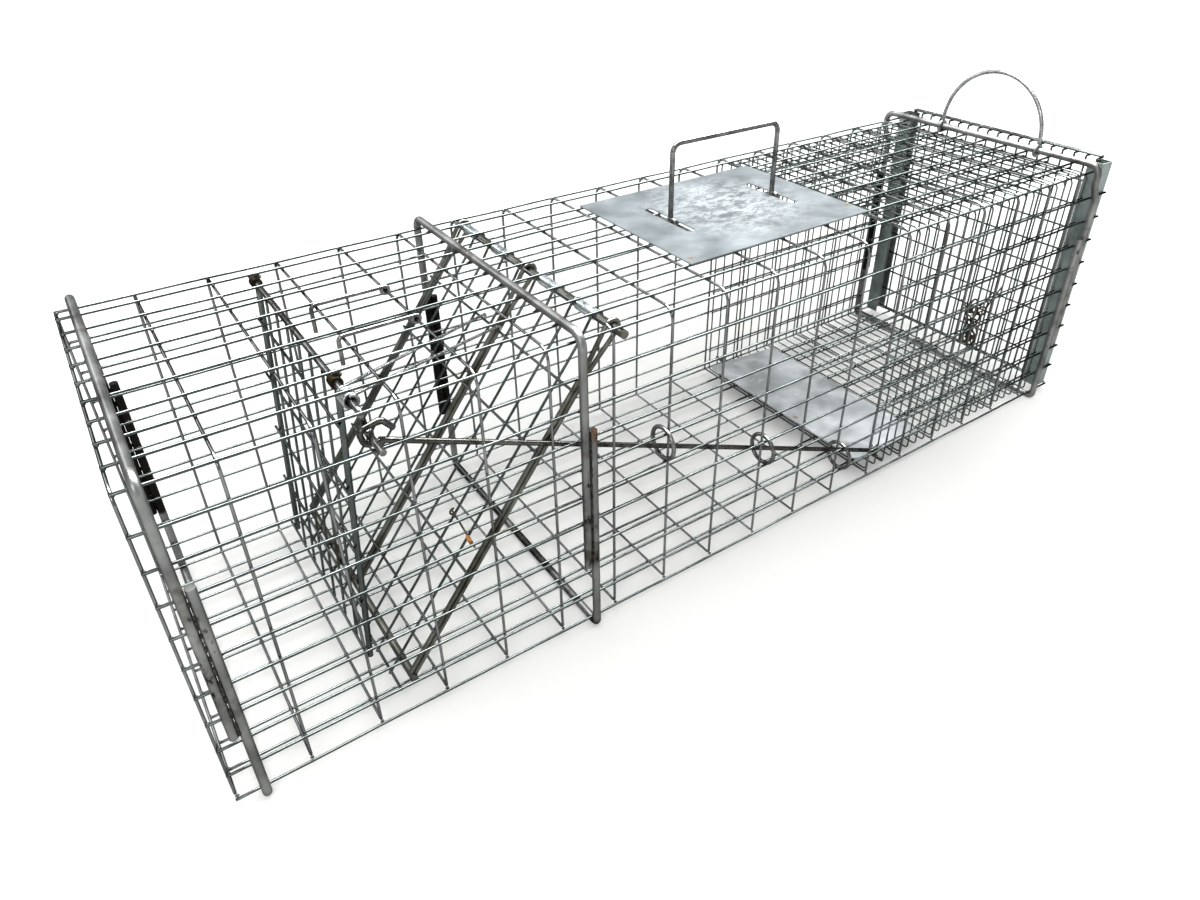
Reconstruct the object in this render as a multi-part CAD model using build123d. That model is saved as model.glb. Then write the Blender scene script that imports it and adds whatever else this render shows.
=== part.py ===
from build123d import *
import math
import os

# Live catch trap. +X runs to the rear, +Z up, the front door is at -X.
# The origin is under the middle of the trap, on the plane it stands on.

INCH = 25.4

# Cage
CAGE_LENGTH = 36 * INCH
CAGE_HALF_WIDTH = 5 * INCH          # centre of the outer lengthwise wires
CAGE_HEIGHT = 10.163 * INCH         # centre of the roof's lengthwise wires
HOOP_PITCH = 2 * INCH
WIRE_PITCH = 1 * INCH
WIRE_D = 2.1
GAP = 0.02                          # touching wires are kept this far apart
LAYER = WIRE_D + GAP                # spacing between two crossing layers of wire
CORNER_R = 10.0
ROOF_END = 35.2 * INCH
SIDE_WIRE_TOP = 9

# Fine liner inside the rear third
LINER_START = 24.15 * INCH          # its hoops stand clear of the cage's and of the pan's axle
LINER_END = 34.65 * INCH
LINER_PITCH = 0.5 * INCH
LINER_D = 1.6
LINER_LAYER = LINER_D + GAP
LINER_CORNER_R = 6.0

# Round rod frames
FRAME_D = 6.35
FRAME_BEND = 10.0
FRAME_FOOT_BEND = 4.3
EYE_SLACK = 0.06                    # play of a wire eye round its wire
FRAME_STEP = 6.6                    # a lower frame stands this far behind its upper
UPPER_LEG_END = 2.4 * INCH
LOWER_LEG_END = 7.35 * INCH
FRONT_FRAME_X = 0.45 * INCH
MIDDLE_FRAME_X = 10.87 * INCH
REAR_TOP_X = 34.65 * INCH
REAR_UPPER_X = 35.05 * INCH
REAR_LOWER_X = 34.78 * INCH
SHOULDER_TOP = 9.6 * INCH
SHOULDER_LOW = 8.9 * INCH

# Front door: slopes forward and down from its hinge rod to its foot
DOOR_HINGE_X = 12.32 * INCH
DOOR_HINGE_Z = 9.84 * INCH
DOOR_FOOT_X = 4.86 * INCH
DOOR_FOOT_Z = 0.2 * INCH
DOOR_ROD_Y = (-4.4 * INCH, 0.1 * INCH, 4.62 * INCH)
DOOR_ROD_D = 3.6
DOOR_ROD_NECK = 1.3 * INCH          # below this the two legs of a rod run side by side
DOOR_LEG_GAP = 2.0                  # half the gap between the centres of a doubled rod
DOOR_HALF_MESH = 4.55 * INCH
DOOR_FAR_MESH = DOOR_HALF_MESH + 3
DOOR_CROSS_START = 2.04 * INCH
DOOR_WIRE_START = -3.66 * INCH
DOOR_WIRE_PITCH = 1.01 * INCH
DOOR_WIRE_COUNT = 9
DOOR_WIRE_NECK = 0.8 * INCH
DOOR_SILL_D = 6.0
DOOR_SILL_AT = 11.65 * INCH
SLEEVE_Y = (3.93 * INCH, 1.91 * INCH, -1.13 * INCH, -3.15 * INCH)
SLEEVE_LENGTH = 0.85 * INCH
SLEEVE_WALL = 1.0

# Lock flap and the pin that it hangs on
PIN_X = 5.2 * INCH
PIN_Z = 9.8 * INCH
PIN_D = 4.5
PIN_CORNER_R = 3.6
PIN_FAR_Y = 4.76 * INCH
PIN_CRANK_Y = -4.45 * INCH
PIN_NEAR_Y = -5.5 * INCH
STUB_X = 5.27 * INCH
STUB_Z = 9.22 * INCH
FLAP_TOP_Y = 4.2 * INCH
FLAP_ROWS = 8                       # two side rods with wires between them
FLAP_LENGTH = 9.42 * INCH
FLAP_SIDE_D = 4.5
FLAP_SIDE_RISE = 7.0                # the side rods stand this far above the pin's centre
FLAP_KNUCKLE_D = 8.6
FLAP_KNUCKLE_LENGTH = 7.5
FLAP_CROSS_OVERHANG = 5.5
FLAP_CROSS_START = 1.2 * INCH
FLAP_LEAN = 0.72 * INCH             # the foot of the flap hangs this far ahead of the pin

# Torsion spring on the pin
SPRING_D = 2.2
COIL_R = 4.4
COIL_TURNS = 5
COIL_PITCH = 2.6
COIL_START_Y = -3.45 * INCH
ARM_END_Y = (0.76 * INCH, -0.2 * INCH)
HOOK_SLACK = 0.5
HOOK_REACH = 4.4
HOOK_BEND = 1.6
HOOK_TAIL = Vector(0.5, 0, -4)

# Latch fingers on the roof
FINGER_HOOP = 8 * INCH
FINGER_BEND = 5.85 * INCH
FINGER_TIP_Z = 9.36 * INCH
FINGER_D = 3.0
FINGER_CORNER_R = 4.0
FINGER_Y = (0.86 * INCH, -1.35 * INCH)

# Trip rod and the rings that carry it
TRIP_D = 4.0
TRIP_Y = -4.654 * INCH
TRIP_SLOPE = 0.4333                 # it drops this much per unit of length rearward
TRIP_AT = (5.40 * INCH, 9.055 * INCH)
TRIP_HOOK = ((5.86 * INCH, 9.22 * INCH), (5.58 * INCH, 9.56 * INCH),
             (5.02 * INCH, 9.42 * INCH), (5.12 * INCH, 9.0 * INCH))
TRIP_HOOK_R = 4.0
TRIP_STEM_START = 2.0               # the straight stem starts this far behind TRIP_AT
TRIP_HOOK_END = 6.36
TRIP_FOOT_R = 2.3
TRIP_FOOT = 9.0                     # length of the end that turns into the pan's ear
RING_D = 3.5
RING_OUTSIDE = 30.0
RING_X = (13.85 * INCH, 18.16 * INCH, 22.26 * INCH)
RING_WIRE_Z = (6 * INCH, 4 * INCH, 2 * INCH)
RING_Y = -4.85 * INCH

# Treadle pan
PAN_AXLE_X = 24.8 * INCH
PAN_AXLE_Z = 0.385 * INCH
PAN_AXLE_D = 4.0
PAN_FRONT = 1.1 * INCH
PAN_REAR = 2.9 * INCH
PAN_SLOPE = 3.8
PAN_FAR_Y = 4.25 * INCH
PAN_NEAR_Y = -4.52 * INCH
PAN_SHEET = 1.0
PAN_CORNER_R = 6.0
PAN_LIFT = 2.5                      # underside of the sheet above the axle's centre
EAR_THICK = 1.2
EAR_WIDTH = 22.0
EAR_NOTCH = 10.0
EAR_REACH = 5.0                     # the hole is cut this far to both sides of the head
EAR_SLACK = 0.9                     # the ear swings on an arc while the rod slides straight
KNUCKLE_Y = (3.4 * INCH, 0.1 * INCH, -3.4 * INCH)
KNUCKLE_LENGTH = 0.9 * INCH
KNUCKLE_D = 5.8

# Plate and carry handle
PLATE_X = (16.1 * INCH, 23.9 * INCH)
PLATE_HALF = 3.1 * INCH
PLATE_THICK = 1.0
SLOT_X = (17.82 * INCH, 22.42 * INCH)
SLOT_Y = (-1.08 * INCH, 1.46 * INCH)
SLOT_W = 8.0
HANDLE_D = 4.4
HANDLE_TOP = 12.78 * INCH
HANDLE_BEND = 8.0

# Rear sliding door, its channels and the bail on the rear frame
REAR_DOOR_X = 35.625 * INCH
REAR_DOOR_WIRE = 2.0
REAR_DOOR_SETBACK = 1.5             # the uprights stand this far behind the edge rods' centre
REAR_DOOR_EDGE_D = 5.0
REAR_DOOR_EDGE_Y = 115.5
REAR_DOOR_BOTTOM = 0.22 * INCH
REAR_DOOR_TOP = 10.3 * INCH
FLANGE_END = 36.0 * INCH
CHANNEL_X = (35.3 * INCH, 35.95 * INCH)
CHANNEL_WEB_Y = 125.7
CHANNEL_LIP_Y = 110.0
CHANNEL_SHEET = 1.0
CHANNEL_TOP = 10.25 * INCH
CHANNEL_FOOT = 1.6
BAIL_D = 4.0
BAIL_Y = (2.13 * INCH, -2.5 * INCH)
BAIL_SPRING_Z = 10.65 * INCH

# Derived levels
DOOR_RUN = Vector(DOOR_HINGE_X - DOOR_FOOT_X, DOOR_HINGE_Z - DOOR_FOOT_Z)
DOOR_LENGTH = DOOR_RUN.length
DOOR_SLOPE = (DOOR_RUN.X / DOOR_LENGTH, DOOR_RUN.Y / DOOR_LENGTH)
HOOP_HALF = CAGE_HALF_WIDTH - LAYER
HOOP_FLOOR = LAYER
HOOP_ROOF = CAGE_HEIGHT - LAYER
FRAME_Y = CAGE_HALF_WIDTH + WIRE_D / 2 + FRAME_D / 2 + GAP
FRAME_TOP = CAGE_HEIGHT + WIRE_D / 2 + FRAME_D / 2 + GAP
FRAME_FOOT = -WIRE_D / 2 - FRAME_D / 2 - GAP
LINER_IN = (WIRE_D + LINER_D) / 2 + GAP
LINER_WIRES_Y = 4 * INCH            # outermost lengthwise liner wires, beside the cage's
LINER_FLOOR_WIRES = HOOP_FLOOR + LINER_IN
PLATE_Z = CAGE_HEIGHT + WIRE_D / 2 + 0.05
TRIP_DIR = Vector(-1, 0, TRIP_SLOPE).normalized()

# Working coordinates start at the front end of the cage; this puts them in the frame.
SHIFT = Vector(-CAGE_LENGTH / 2, -(FRAME_Y + FRAME_D / 2 + PIN_NEAR_Y) / 2, FRAME_D / 2 - FRAME_FOOT)


def rod(start, end, diameter):
    start, end = Vector(*start), Vector(*end)
    run = end - start
    return Solid.make_cylinder(diameter / 2, run.length, Plane(origin=start, z_dir=run))


def bent_rod(points, diameter, bend):
    """One round wire through the points, with every corner rounded."""
    points = [Vector(*p) for p in points]
    edges, here = [], points[0]
    for before, corner, after in zip(points, points[1:], points[2:]):
        back, ahead = (before - corner).normalized(), (after - corner).normalized()
        half = math.radians(back.get_angle(ahead)) / 2
        setback, depth = bend / math.tan(half), bend / math.sin(half) - bend
        first, last = corner + back * setback, corner + ahead * setback
        middle = corner + (back + ahead).normalized() * depth
        edges += [Edge.make_line(here, first), Edge.make_three_point_arc(first, middle, last)]
        here = last
    edges.append(Edge.make_line(here, points[-1]))
    return sweep_wire(edges, diameter)


def sweep_wire(edges, diameter):
    path = Wire(edges)
    section = Plane(origin=path @ 0, z_dir=path % 0) * Circle(diameter / 2)
    return sweep(section, path).solids()[0]


def eye(centre, mean_radius, diameter, axis):
    return Solid.make_torus(mean_radius, diameter / 2, Plane(origin=Vector(*centre), z_dir=axis))


def steps(first, last, pitch):
    count = round((last - first) / pitch)
    return [first + i * pitch for i in range(count + 1)]


# Cage walls

def floor_mesh():
    hoops = [rod((x, -HOOP_HALF, HOOP_FLOOR), (x, HOOP_HALF, HOOP_FLOOR), WIRE_D)
             for x in steps(0, CAGE_LENGTH, HOOP_PITCH)]
    long_wires = [rod((-WIRE_D / 2, y, 0), (CAGE_LENGTH + WIRE_D / 2, y, 0), WIRE_D)
                  for y in steps(-CAGE_HALF_WIDTH, CAGE_HALF_WIDTH, WIRE_PITCH)]
    return hoops + long_wires


def corner_bend(x, side, half, roof, radius, diameter):
    knee = radius / math.sqrt(2)
    centre_y, centre_z = half - radius, roof - radius
    arc = Edge.make_three_point_arc(
        Vector(x, side * half, centre_z),
        Vector(x, side * (centre_y + knee), centre_z + knee),
        Vector(x, side * centre_y, roof))
    return sweep_wire([arc], diameter)


def roof_mesh():
    flat = HOOP_HALF - CORNER_R
    hoops = [rod((x, -flat, HOOP_ROOF), (x, flat, HOOP_ROOF), WIRE_D)
             for x in steps(0, 34 * INCH, HOOP_PITCH)]
    long_wires = [rod((-WIRE_D / 2, y, CAGE_HEIGHT), (ROOF_END, y, CAGE_HEIGHT), WIRE_D)
                  for y in steps(-4 * WIRE_PITCH, 4 * WIRE_PITCH, WIRE_PITCH)]
    shoulder = (CORNER_R + LAYER) / math.sqrt(2)
    y, z = flat + shoulder, HOOP_ROOF - CORNER_R + shoulder
    corners = [rod((-WIRE_D / 2, side * y, z), (ROOF_END, side * y, z), WIRE_D) for side in (-1, 1)]
    return hoops + long_wires + corners


def roof_corner_bends():
    return [corner_bend(x, side, HOOP_HALF, HOOP_ROOF, CORNER_R, WIRE_D)
            for x in steps(0, 34 * INCH, HOOP_PITCH) for side in (-1, 1)]


def side_mesh(side):
    foot, top = HOOP_FLOOR + WIRE_D / 2 + GAP, HOOP_ROOF - CORNER_R
    uprights = [rod((x, side * HOOP_HALF, foot), (x, side * HOOP_HALF, top), WIRE_D)
                for x in steps(0, 34 * INCH, HOOP_PITCH)]
    y = side * CAGE_HALF_WIDTH
    long_wires = [rod((-WIRE_D / 2, y, z), (CAGE_LENGTH + WIRE_D / 2, y, z), WIRE_D)
                  for z in steps(WIRE_PITCH, SIDE_WIRE_TOP * WIRE_PITCH, WIRE_PITCH)]
    return uprights + long_wires


def liner_floor():
    z_long, half = LINER_FLOOR_WIRES, HOOP_HALF - LINER_IN - LINER_LAYER
    z_hoop = z_long - LINER_LAYER
    hoops = [rod((x, -half, z_hoop), (x, half, z_hoop), LINER_D)
             for x in steps(LINER_START, LINER_END, LINER_PITCH)]
    long_wires = [rod((LINER_START, y, z_long), (LINER_END, y, z_long), LINER_D)
                  for y in steps(-LINER_WIRES_Y, LINER_WIRES_Y, WIRE_PITCH)]
    return hoops + long_wires


def liner_roof():
    z_long = HOOP_ROOF - LINER_IN
    z_hoop = z_long - LINER_LAYER
    half = HOOP_HALF - LINER_IN - LINER_LAYER - LINER_CORNER_R
    hoops = [rod((x, -half, z_hoop), (x, half, z_hoop), LINER_D)
             for x in steps(LINER_START, LINER_END, LINER_PITCH)]
    long_wires = [rod((LINER_START, y, z_long), (LINER_END, y, z_long), LINER_D)
                  for y in steps(-LINER_WIRES_Y, LINER_WIRES_Y, WIRE_PITCH)]
    return hoops + long_wires


def liner_corner_bends():
    half = HOOP_HALF - LINER_IN - LINER_LAYER
    roof = HOOP_ROOF - LINER_IN - LINER_LAYER
    return [corner_bend(x, side, half, roof, LINER_CORNER_R, LINER_D)
            for x in steps(LINER_START, LINER_END, LINER_PITCH) for side in (-1, 1)]


def liner_side(side):
    y_long = side * (HOOP_HALF - LINER_IN)
    y_hoop = y_long - side * LINER_LAYER
    foot = LINER_FLOOR_WIRES - LINER_LAYER + LINER_D / 2 + GAP
    top = HOOP_ROOF - LINER_IN - LINER_LAYER - LINER_CORNER_R
    uprights = [rod((x, y_hoop, foot), (x, y_hoop, top), LINER_D)
                for x in steps(LINER_START, LINER_END, LINER_PITCH)]
    long_wires = [rod((LINER_START, y_long, z), (LINER_END, y_long, z), LINER_D)
                  for z in steps(WIRE_PITCH, SIDE_WIRE_TOP * WIRE_PITCH, WIRE_PITCH)]
    return uprights + long_wires


# Rod frames

def upper_frame(x):
    return bent_rod([(x, -FRAME_Y, UPPER_LEG_END), (x, -FRAME_Y, FRAME_TOP),
                     (x, FRAME_Y, FRAME_TOP), (x, FRAME_Y, UPPER_LEG_END)], FRAME_D, FRAME_BEND)


def lower_frame(x):
    return bent_rod([(x, -FRAME_Y, LOWER_LEG_END), (x, -FRAME_Y, FRAME_FOOT),
                     (x, FRAME_Y, FRAME_FOOT), (x, FRAME_Y, LOWER_LEG_END)], FRAME_D, FRAME_FOOT_BEND)


def rear_upper_frame():
    def leg(side):
        y = side * FRAME_Y
        return [(REAR_UPPER_X, y, UPPER_LEG_END), (REAR_UPPER_X, y, SHOULDER_LOW),
                (REAR_TOP_X, y, SHOULDER_TOP), (REAR_TOP_X, y, FRAME_TOP)]
    return bent_rod(leg(-1) + leg(1)[::-1], FRAME_D, FRAME_BEND)


# Front door

def on_door(along, out, y):
    """A point on the front door: along it from the hinge, out of its front face, across."""
    return (DOOR_HINGE_X - DOOR_SLOPE[0] * along - DOOR_SLOPE[1] * out, y,
            DOOR_HINGE_Z - DOOR_SLOPE[1] * along + DOOR_SLOPE[0] * out)


def door_rods():
    wrap = FRAME_D / 2 + DOOR_ROD_D / 2 + EYE_SLACK
    foot, neck = DOOR_SILL_AT - DOOR_SILL_D / 2 - GAP, DOOR_ROD_NECK
    rods = []
    for y in DOOR_ROD_Y:
        points = [on_door(foot, DOOR_LEG_GAP, y), on_door(neck, DOOR_LEG_GAP, y),
                  on_door(wrap, wrap, y), on_door(-wrap, wrap, y),
                  on_door(-wrap, -wrap, y), on_door(wrap, -wrap, y),
                  on_door(neck, -DOOR_LEG_GAP, y), on_door(foot, -DOOR_LEG_GAP, y)]
        rods.append(bent_rod(points, DOOR_ROD_D, wrap - GAP))
    return rods


def door_sill():
    out = DOOR_LEG_GAP + DOOR_ROD_D / 2 - LAYER - (WIRE_D + DOOR_SILL_D) / 2 + WIRE_D / 2
    return rod(on_door(DOOR_SILL_AT, out, -DOOR_HALF_MESH), on_door(DOOR_SILL_AT, out, DOOR_FAR_MESH),
               DOOR_SILL_D)


def door_mesh():
    cross_out = DOOR_LEG_GAP + (DOOR_ROD_D + WIRE_D) / 2 + GAP
    crossings = steps(DOOR_CROSS_START, DOOR_CROSS_START + 10 * INCH, HOOP_PITCH)
    cross_wires = [rod(on_door(s, cross_out, -DOOR_HALF_MESH), on_door(s, cross_out, DOOR_FAR_MESH),
                       WIRE_D) for s in crossings]
    out, wrap = cross_out - LAYER, (FRAME_D + WIRE_D) / 2 + EYE_SLACK
    long_wires = []
    for i in range(DOOR_WIRE_COUNT):
        y = DOOR_WIRE_START + i * DOOR_WIRE_PITCH
        points = [on_door(DOOR_LENGTH, out, y), on_door(DOOR_WIRE_NECK, out, y), on_door(wrap, wrap, y),
                  on_door(-wrap, wrap, y), on_door(-wrap, -wrap, y), on_door(wrap / 2, -wrap, y)]
        long_wires.append(bent_rod(points, WIRE_D, wrap - GAP))
    return cross_wires + long_wires


def door_hinge_rod():
    half = HOOP_HALF + WIRE_D
    return rod((DOOR_HINGE_X, -half, DOOR_HINGE_Z), (DOOR_HINGE_X, half, DOOR_HINGE_Z), FRAME_D)


def hinge_sleeves():
    sleeves = []
    for y in SLEEVE_Y:
        start = (DOOR_HINGE_X, y - SLEEVE_LENGTH / 2, DOOR_HINGE_Z)
        end = (DOOR_HINGE_X, y + SLEEVE_LENGTH / 2, DOOR_HINGE_Z)
        shell = rod(start, end, FRAME_D + 2 * SLEEVE_WALL)
        sleeves.append((shell - rod(start, end, FRAME_D + 2 * GAP)).solids()[0])
    return sleeves


# Lock flap, pin and spring

def flap_pin():
    return bent_rod([(PIN_X, PIN_FAR_Y, PIN_Z), (PIN_X, PIN_CRANK_Y, PIN_Z),
                     (STUB_X, PIN_CRANK_Y, STUB_Z), (STUB_X, PIN_NEAR_Y, STUB_Z)], PIN_D, PIN_CORNER_R)


def on_flap(down, back, y):
    """A point on the flap: down from the pin, behind the plane of its uprights, across."""
    lean, drop = FLAP_LEAN / FLAP_LENGTH, math.sqrt(1 - (FLAP_LEAN / FLAP_LENGTH) ** 2)
    return (PIN_X - lean * down + drop * back, y, PIN_Z - drop * down - lean * back)


def flap_side(y):
    """A side rod of the flap with the knuckle that turns on the pin."""
    back = (FLAP_SIDE_D - WIRE_D) / 2
    knuckle = rod((PIN_X, y - FLAP_KNUCKLE_LENGTH / 2, PIN_Z), (PIN_X, y + FLAP_KNUCKLE_LENGTH / 2, PIN_Z),
                  FLAP_KNUCKLE_D)
    side = knuckle + rod(on_flap(-FLAP_SIDE_RISE, back, y), on_flap(FLAP_LENGTH, back, y), FLAP_SIDE_D)
    side -= rod((PIN_X, y - FLAP_KNUCKLE_LENGTH, PIN_Z), (PIN_X, y + FLAP_KNUCKLE_LENGTH, PIN_Z),
                PIN_D + 2 * EYE_SLACK)
    return side.solids()[0]


def lock_flap():
    rows = [FLAP_TOP_Y - i * WIRE_PITCH for i in range(FLAP_ROWS)]
    sides = [flap_side(y) for y in (rows[0], rows[-1])]
    top = PIN_D / 2 + 2 * EYE_SLACK
    uprights = [rod(on_flap(top, 0, y), on_flap(FLAP_LENGTH, 0, y), WIRE_D) for y in rows[1:-1]]
    far, near = rows[0] + FLAP_CROSS_OVERHANG, rows[-1] - FLAP_CROSS_OVERHANG
    cross_wires = [rod(on_flap(d, -LAYER, far), on_flap(d, -LAYER, near), WIRE_D)
                   for d in steps(FLAP_CROSS_START, FLAP_CROSS_START + 8 * INCH, HOOP_PITCH)]
    return sides + uprights + cross_wires


def spring_arm(start, end_y):
    """An arm from the coil that passes over the door's first cross wire and hooks behind it."""
    wire = Vector(*on_door(DOOR_CROSS_START, DOOR_LEG_GAP + (DOOR_ROD_D + WIRE_D) / 2 + GAP, end_y))
    over = wire + Vector(0, 0, (WIRE_D + SPRING_D) / 2 + HOOK_SLACK)
    past = over + (over - start).normalized() * HOOK_REACH
    return bent_rod([start, past, past + HOOK_TAIL], SPRING_D, HOOK_BEND)


def door_spring():
    length = COIL_TURNS * COIL_PITCH
    helix = Edge.make_helix(COIL_PITCH, length, COIL_R, center=(PIN_X, COIL_START_Y - length, PIN_Z),
                            normal=(0, 1, 0))
    path = Wire([helix])
    section = Plane(origin=path @ 0, z_dir=path % 0) * Circle(SPRING_D / 2)
    coil = sweep(section, path, is_frenet=True).solids()[0]
    arms = [spring_arm(path @ end, y) for end, y in zip((1, 0), ARM_END_Y)]
    return [coil] + arms


# Latch fingers, trip rod, rings and pan

def latch_finger(y):
    wrap = (WIRE_D + FINGER_D) / 2 + EYE_SLACK
    top = HOOP_ROOF + wrap
    arm = bent_rod([(FINGER_HOOP, y, top), (FINGER_BEND, y, top), (FINGER_BEND, y, FINGER_TIP_Z)],
                   FINGER_D, FINGER_CORNER_R)
    return [eye((FINGER_HOOP, y, HOOP_ROOF), wrap, FINGER_D, (0, 1, 0)), arm]


def trip_point(back):
    start = Vector(TRIP_AT[0], TRIP_Y, TRIP_AT[1])
    return start - TRIP_DIR * back


def trip_end():
    """Where the trip rod turns into the pan's ear: straight out from the axle."""
    offset = Vector(PAN_AXLE_X, TRIP_Y, PAN_AXLE_Z) - trip_point(0)
    return trip_point(-offset.dot(TRIP_DIR))


def trip_rod():
    under, corner = trip_point(TRIP_STEM_START), trip_end()
    points = [(x, TRIP_Y, z) for x, z in TRIP_HOOK] + [tuple(trip_point(TRIP_HOOK_END))]
    hook = bent_rod(points, TRIP_D, TRIP_HOOK_R)
    stem = bent_rod([under, corner, corner + Vector(0, TRIP_FOOT, 0)], TRIP_D, TRIP_FOOT_R)
    return [hook, stem]


def trip_rings():
    radius = (RING_OUTSIDE - RING_D) / 2
    hang_y = abs(RING_Y) - CAGE_HALF_WIDTH
    drop = math.sqrt((radius - RING_D / 2) ** 2 - hang_y ** 2) - WIRE_D / 2 - 0.05
    return [eye((x, RING_Y, z - drop), radius, RING_D, (1, 0, 0)) for x, z in zip(RING_X, RING_WIRE_Z)]


def pan_axle():
    half = HOOP_HALF + WIRE_D
    return rod((PAN_AXLE_X, -half, PAN_AXLE_Z), (PAN_AXLE_X, half, PAN_AXLE_Z), PAN_AXLE_D)


def pan():
    width = PAN_FAR_Y - PAN_NEAR_Y
    length = PAN_FRONT + PAN_REAR
    sheet = Pos((PAN_REAR - PAN_FRONT) / 2, (PAN_FAR_Y + PAN_NEAR_Y) / 2, PAN_LIFT + PAN_SHEET / 2) \
        * Box(length, width, PAN_SHEET)
    sheet = fillet(sheet.edges().filter_by(Axis.Z), PAN_CORNER_R)
    sheet = Pos(PAN_AXLE_X, 0, PAN_AXLE_Z) * Rot(0, PAN_SLOPE, 0) * sheet
    tip = trip_end()
    sheet -= Pos(tip.X, PAN_NEAR_Y, tip.Z) * Box(EAR_NOTCH, EAR_NOTCH, EAR_NOTCH)
    shape = sheet
    for y in KNUCKLE_Y:
        shape += rod((PAN_AXLE_X, y - KNUCKLE_LENGTH / 2, PAN_AXLE_Z),
                     (PAN_AXLE_X, y + KNUCKLE_LENGTH / 2, PAN_AXLE_Z), KNUCKLE_D)
    head = PAN_NEAR_Y
    lug = rod((tip.X, head, tip.Z), (tip.X, head + EAR_THICK, tip.Z), EAR_NOTCH)
    web = Pos(tip.X, head + EAR_THICK / 2, PAN_AXLE_Z + PAN_LIFT + PAN_SHEET / 2) \
        * Box(EAR_WIDTH, EAR_THICK, 4 * PAN_SHEET)
    shape = shape + lug + web
    shape -= rod((PAN_AXLE_X, -CAGE_HALF_WIDTH, PAN_AXLE_Z), (PAN_AXLE_X, CAGE_HALF_WIDTH, PAN_AXLE_Z),
                 PAN_AXLE_D + 2 * EYE_SLACK)
    shape -= rod((tip.X, head - EAR_REACH, tip.Z), (tip.X, head + EAR_REACH, tip.Z), TRIP_D + EAR_SLACK)
    return [shape.solids()[0]]


# Plate and handle

def handle_plate():
    length = PLATE_X[1] - PLATE_X[0]
    sheet = Pos(sum(PLATE_X) / 2, 0, PLATE_Z + PLATE_THICK / 2) * Box(length, 2 * PLATE_HALF, PLATE_THICK)
    slot = Box(SLOT_W, SLOT_Y[1] - SLOT_Y[0], 10)
    slot = fillet(slot.edges().filter_by(Axis.Z), SLOT_W / 2 - 0.01)
    for x in SLOT_X:
        sheet -= Pos(x, sum(SLOT_Y) / 2, PLATE_Z) * slot
    return [sheet.solids()[0]]


def carry_handle():
    wrap = (WIRE_D + HANDLE_D) / 2 + EYE_SLACK
    eyes = [eye((x, 0, CAGE_HEIGHT), wrap, HANDLE_D, (1, 0, 0)) for x in SLOT_X]
    bow = bent_rod([(SLOT_X[0], wrap, CAGE_HEIGHT), (SLOT_X[0], wrap, HANDLE_TOP),
                    (SLOT_X[1], wrap, HANDLE_TOP), (SLOT_X[1], wrap, CAGE_HEIGHT)], HANDLE_D, HANDLE_BEND)
    return eyes + [bow]


# Rear sliding door

def rear_channel(side):
    width = CHANNEL_X[1] - CHANNEL_X[0]
    depth = CHANNEL_WEB_Y - CHANNEL_LIP_Y
    height = CHANNEL_TOP - CHANNEL_FOOT
    middle = Vector(sum(CHANNEL_X) / 2, side * (CHANNEL_WEB_Y + CHANNEL_LIP_Y) / 2, CHANNEL_FOOT + height / 2)
    body = Pos(*middle) * Box(width, depth, height)
    hollow = Pos(middle.X, middle.Y - side * CHANNEL_SHEET, middle.Z) \
        * Box(width - 2 * CHANNEL_SHEET, depth, height + 2)
    return [(body - hollow).solids()[0]]


def rear_door_edges():
    return [rod((REAR_DOOR_X, side * REAR_DOOR_EDGE_Y, REAR_DOOR_BOTTOM),
                (REAR_DOOR_X, side * REAR_DOOR_EDGE_Y, REAR_DOOR_TOP), REAR_DOOR_EDGE_D) for side in (-1, 1)]


def rear_door_mesh():
    front = REAR_DOOR_X + REAR_DOOR_SETBACK
    layer = REAR_DOOR_WIRE + GAP
    back, rim = front + layer, FLANGE_END - REAR_DOOR_WIRE / 2
    bottom, top = REAR_DOOR_BOTTOM, REAR_DOOR_TOP
    wires = []
    for y in steps(-4 * INCH, 4 * INCH, LINER_PITCH):
        wires.append(rod((front, y, bottom), (front, y, top), REAR_DOOR_WIRE))
        wires.append(rod((front, y, top), (FLANGE_END, y, top), REAR_DOOR_WIRE))
    for y in (-4.5 * INCH, 4.5 * INCH):
        wires.append(rod((back - REAR_DOOR_WIRE / 4, y, top), (FLANGE_END, y, top), REAR_DOOR_WIRE))
    for z in steps(bottom + 2, bottom + 2 + 9 * INCH, WIRE_PITCH):
        wires.append(rod((back, -REAR_DOOR_EDGE_Y, z), (back, REAR_DOOR_EDGE_Y, z), REAR_DOOR_WIRE))
    over = top + layer
    for x in (back, (back + rim) / 2, rim):
        wires.append(rod((x, -REAR_DOOR_EDGE_Y, over), (x, REAR_DOOR_EDGE_Y, over), REAR_DOOR_WIRE))
    return wires


def rear_bail():
    wrap = (FRAME_D + BAIL_D) / 2 + EYE_SLACK
    x, foot = REAR_TOP_X, FRAME_TOP
    far, near = BAIL_Y
    radius, middle = (far - near) / 2, (far + near) / 2
    edges = [Edge.make_line(Vector(x, near, foot + wrap), Vector(x, near, BAIL_SPRING_Z)),
             Edge.make_three_point_arc(Vector(x, near, BAIL_SPRING_Z),
                                       Vector(x, middle, BAIL_SPRING_Z + radius),
                                       Vector(x, far, BAIL_SPRING_Z)),
             Edge.make_line(Vector(x, far, BAIL_SPRING_Z), Vector(x, far, foot + wrap))]
    eyes = [eye((x, y, foot), wrap, BAIL_D, (0, 1, 0)) for y in BAIL_Y]
    return eyes + [sweep_wire(edges, BAIL_D)]


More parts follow.
